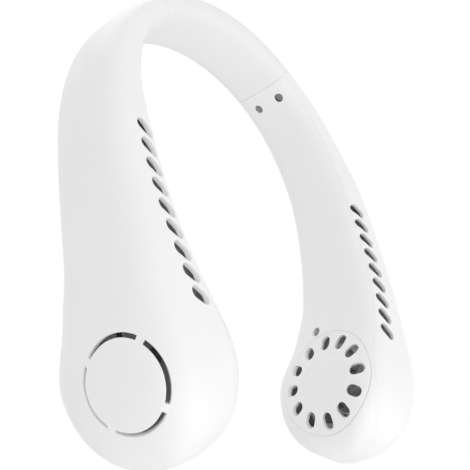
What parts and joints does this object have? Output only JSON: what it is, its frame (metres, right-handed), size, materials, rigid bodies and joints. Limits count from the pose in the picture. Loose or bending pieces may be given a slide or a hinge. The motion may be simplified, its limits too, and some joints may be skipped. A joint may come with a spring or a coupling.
{
  "type": "electric neck fan",
  "caption": "Horseshoe neck fan: two hollow arms with slotted edges and a fan in each end pod, joined by a soft flexible band that rests behind the neck.",
  "frame": {"origin": "middle of the soft band's inner face, where the band rests on the back of the neck", "axes": "+X towards the wearer's left arm pod, +Y along the neck away from the edge with the air slots, +Z from the pods up to the crown of the band"},
  "size_m": [0.1728, 0.0596, 0.2066],
  "materials": {
    "white_shell": "white injection moulding, satin gloss",
    "soft_band": "white soft-touch silicone, low sheen",
    "pale_fan": "pale moulded plastic",
    "dark_steel": "blackened screw steel",
    "bright_steel": "bright drawn steel",
    "core_steel": "varnished sheet stack",
    "magnet": "sintered magnet",
    "bearing_brass": "plain sintered bearing",
    "motor_base": "zinc-plated sheet",
    "cell_foil": "laminated foil pouch",
    "lead_jacket": "black flexible jacket",
    "board_green": "green solder mask",
    "switch_black": "black moulded plastic",
    "clear_plastic": "frosted clear plastic"
  },
  "bodies": {
    "band": {"neck_band": "soft_band", "band_spring": "bright_steel", "band_cable": "lead_jacket"},
    "left_arm": {"left_outer_shell": "white_shell", "left_inner_shell": "white_shell", "left_vent_cover": "white_shell", "left_case_screws": "dark_steel", "left_battery": "cell_foil", "left_stator": "core_steel", "left_motor_bearings": "bearing_brass", "left_motor_base": "motor_base", "left_motor_screws": "dark_steel", "left_lead": "lead_jacket"},
    "right_arm": {"right_outer_shell": "white_shell", "right_inner_shell": "white_shell", "right_vent_cover": "white_shell", "right_case_screws": "dark_steel", "right_battery": "cell_foil", "right_stator": "core_steel", "right_motor_bearings": "bearing_brass", "right_motor_base": "motor_base", "right_motor_screws": "dark_steel", "right_lead": "lead_jacket", "right_motor_lead": "lead_jacket", "control_board": "board_green", "usb_socket": "bright_steel", "button_switch": "switch_black", "light_guide": "clear_plastic"},
    "left_fan": {"left_impeller": "pale_fan", "left_motor_shaft": "bright_steel", "left_rotor_ring": "magnet"},
    "right_fan": {"right_impeller": "pale_fan", "right_motor_shaft": "bright_steel", "right_rotor_ring": "magnet"},
    "button": {"power_button": "white_shell"}
  },
  "joints": [
    {"name": "left_arm_flex", "type": "hinge", "parent": "band", "child": "left_arm", "pos_m": [0.02194, 0, 0.00263], "axis": [0, -1, 0], "range_deg": [0, 12], "stiffness_Nm_per_rad": 2.5, "deforming": ["neck_band", "band_spring", "band_cable"]},
    {"name": "right_arm_flex", "type": "hinge", "parent": "band", "child": "right_arm", "pos_m": [-0.02194, 0, 0.00263], "axis": [0, 1, 0], "range_deg": [0, 12], "stiffness_Nm_per_rad": 2.5, "deforming": ["neck_band", "band_spring", "band_cable"]},
    {"name": "left_fan_spin", "type": "hinge", "parent": "left_arm", "child": "left_fan", "pos_m": [0.06163, -0.00439, -0.16447], "axis": [0.9436, -0.1908, -0.2706], "continuous": true},
    {"name": "right_fan_spin", "type": "hinge", "parent": "right_arm", "child": "right_fan", "pos_m": [-0.06163, -0.00439, -0.16447], "axis": [-0.9436, -0.1908, -0.2706], "continuous": true},
    {"name": "power_button_press", "type": "slide", "parent": "right_arm", "child": "button", "axis": [0.0375, -0.9993, 0.0025], "range_m": [0, 0.0005], "stiffness_N_per_m": 400}
  ]
}
